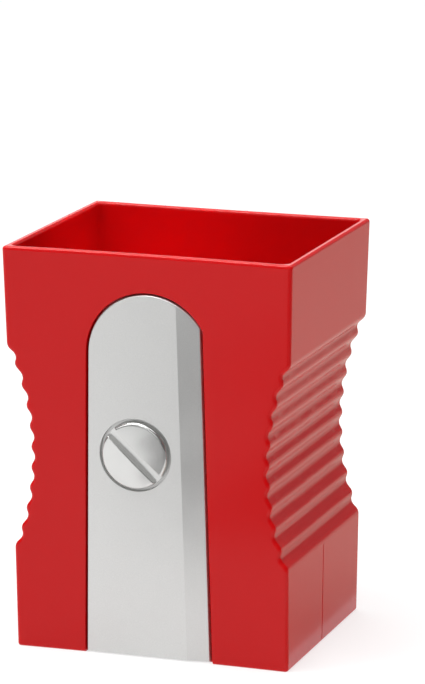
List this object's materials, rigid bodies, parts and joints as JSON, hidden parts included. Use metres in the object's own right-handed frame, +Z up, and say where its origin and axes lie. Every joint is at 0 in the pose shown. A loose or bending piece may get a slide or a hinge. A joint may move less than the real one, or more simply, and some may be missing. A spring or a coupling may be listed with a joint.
{
  "type": "pencil pot",
  "caption": "Open-topped desk pencil pot shaped like a wedge pencil sharpener, with a ribbed waist, a blade-shaped silver front plate and a wide slotted screw.",
  "frame": {"origin": "centre of the bounding box at the plane the pot stands on", "axes": "+Z up towards the open rim, -Y out of the front that carries the blade plate, +X to the right as seen from the front"},
  "size_m": [0.076, 0.0686, 0.105],
  "materials": {
    "red_abs": "moulded red ABS, semi-gloss",
    "silver_painted_abs": "ABS painted satin metallic silver",
    "plated_screw": "nickel-plated steel, satin bright"
  },
  "bodies": {
    "root": {"pot_body": "red_abs", "base_plate": "red_abs", "blade_plate": "silver_painted_abs", "blade_screw": "plated_screw", "post_nut": "plated_screw"}
  },
  "joints": []
}
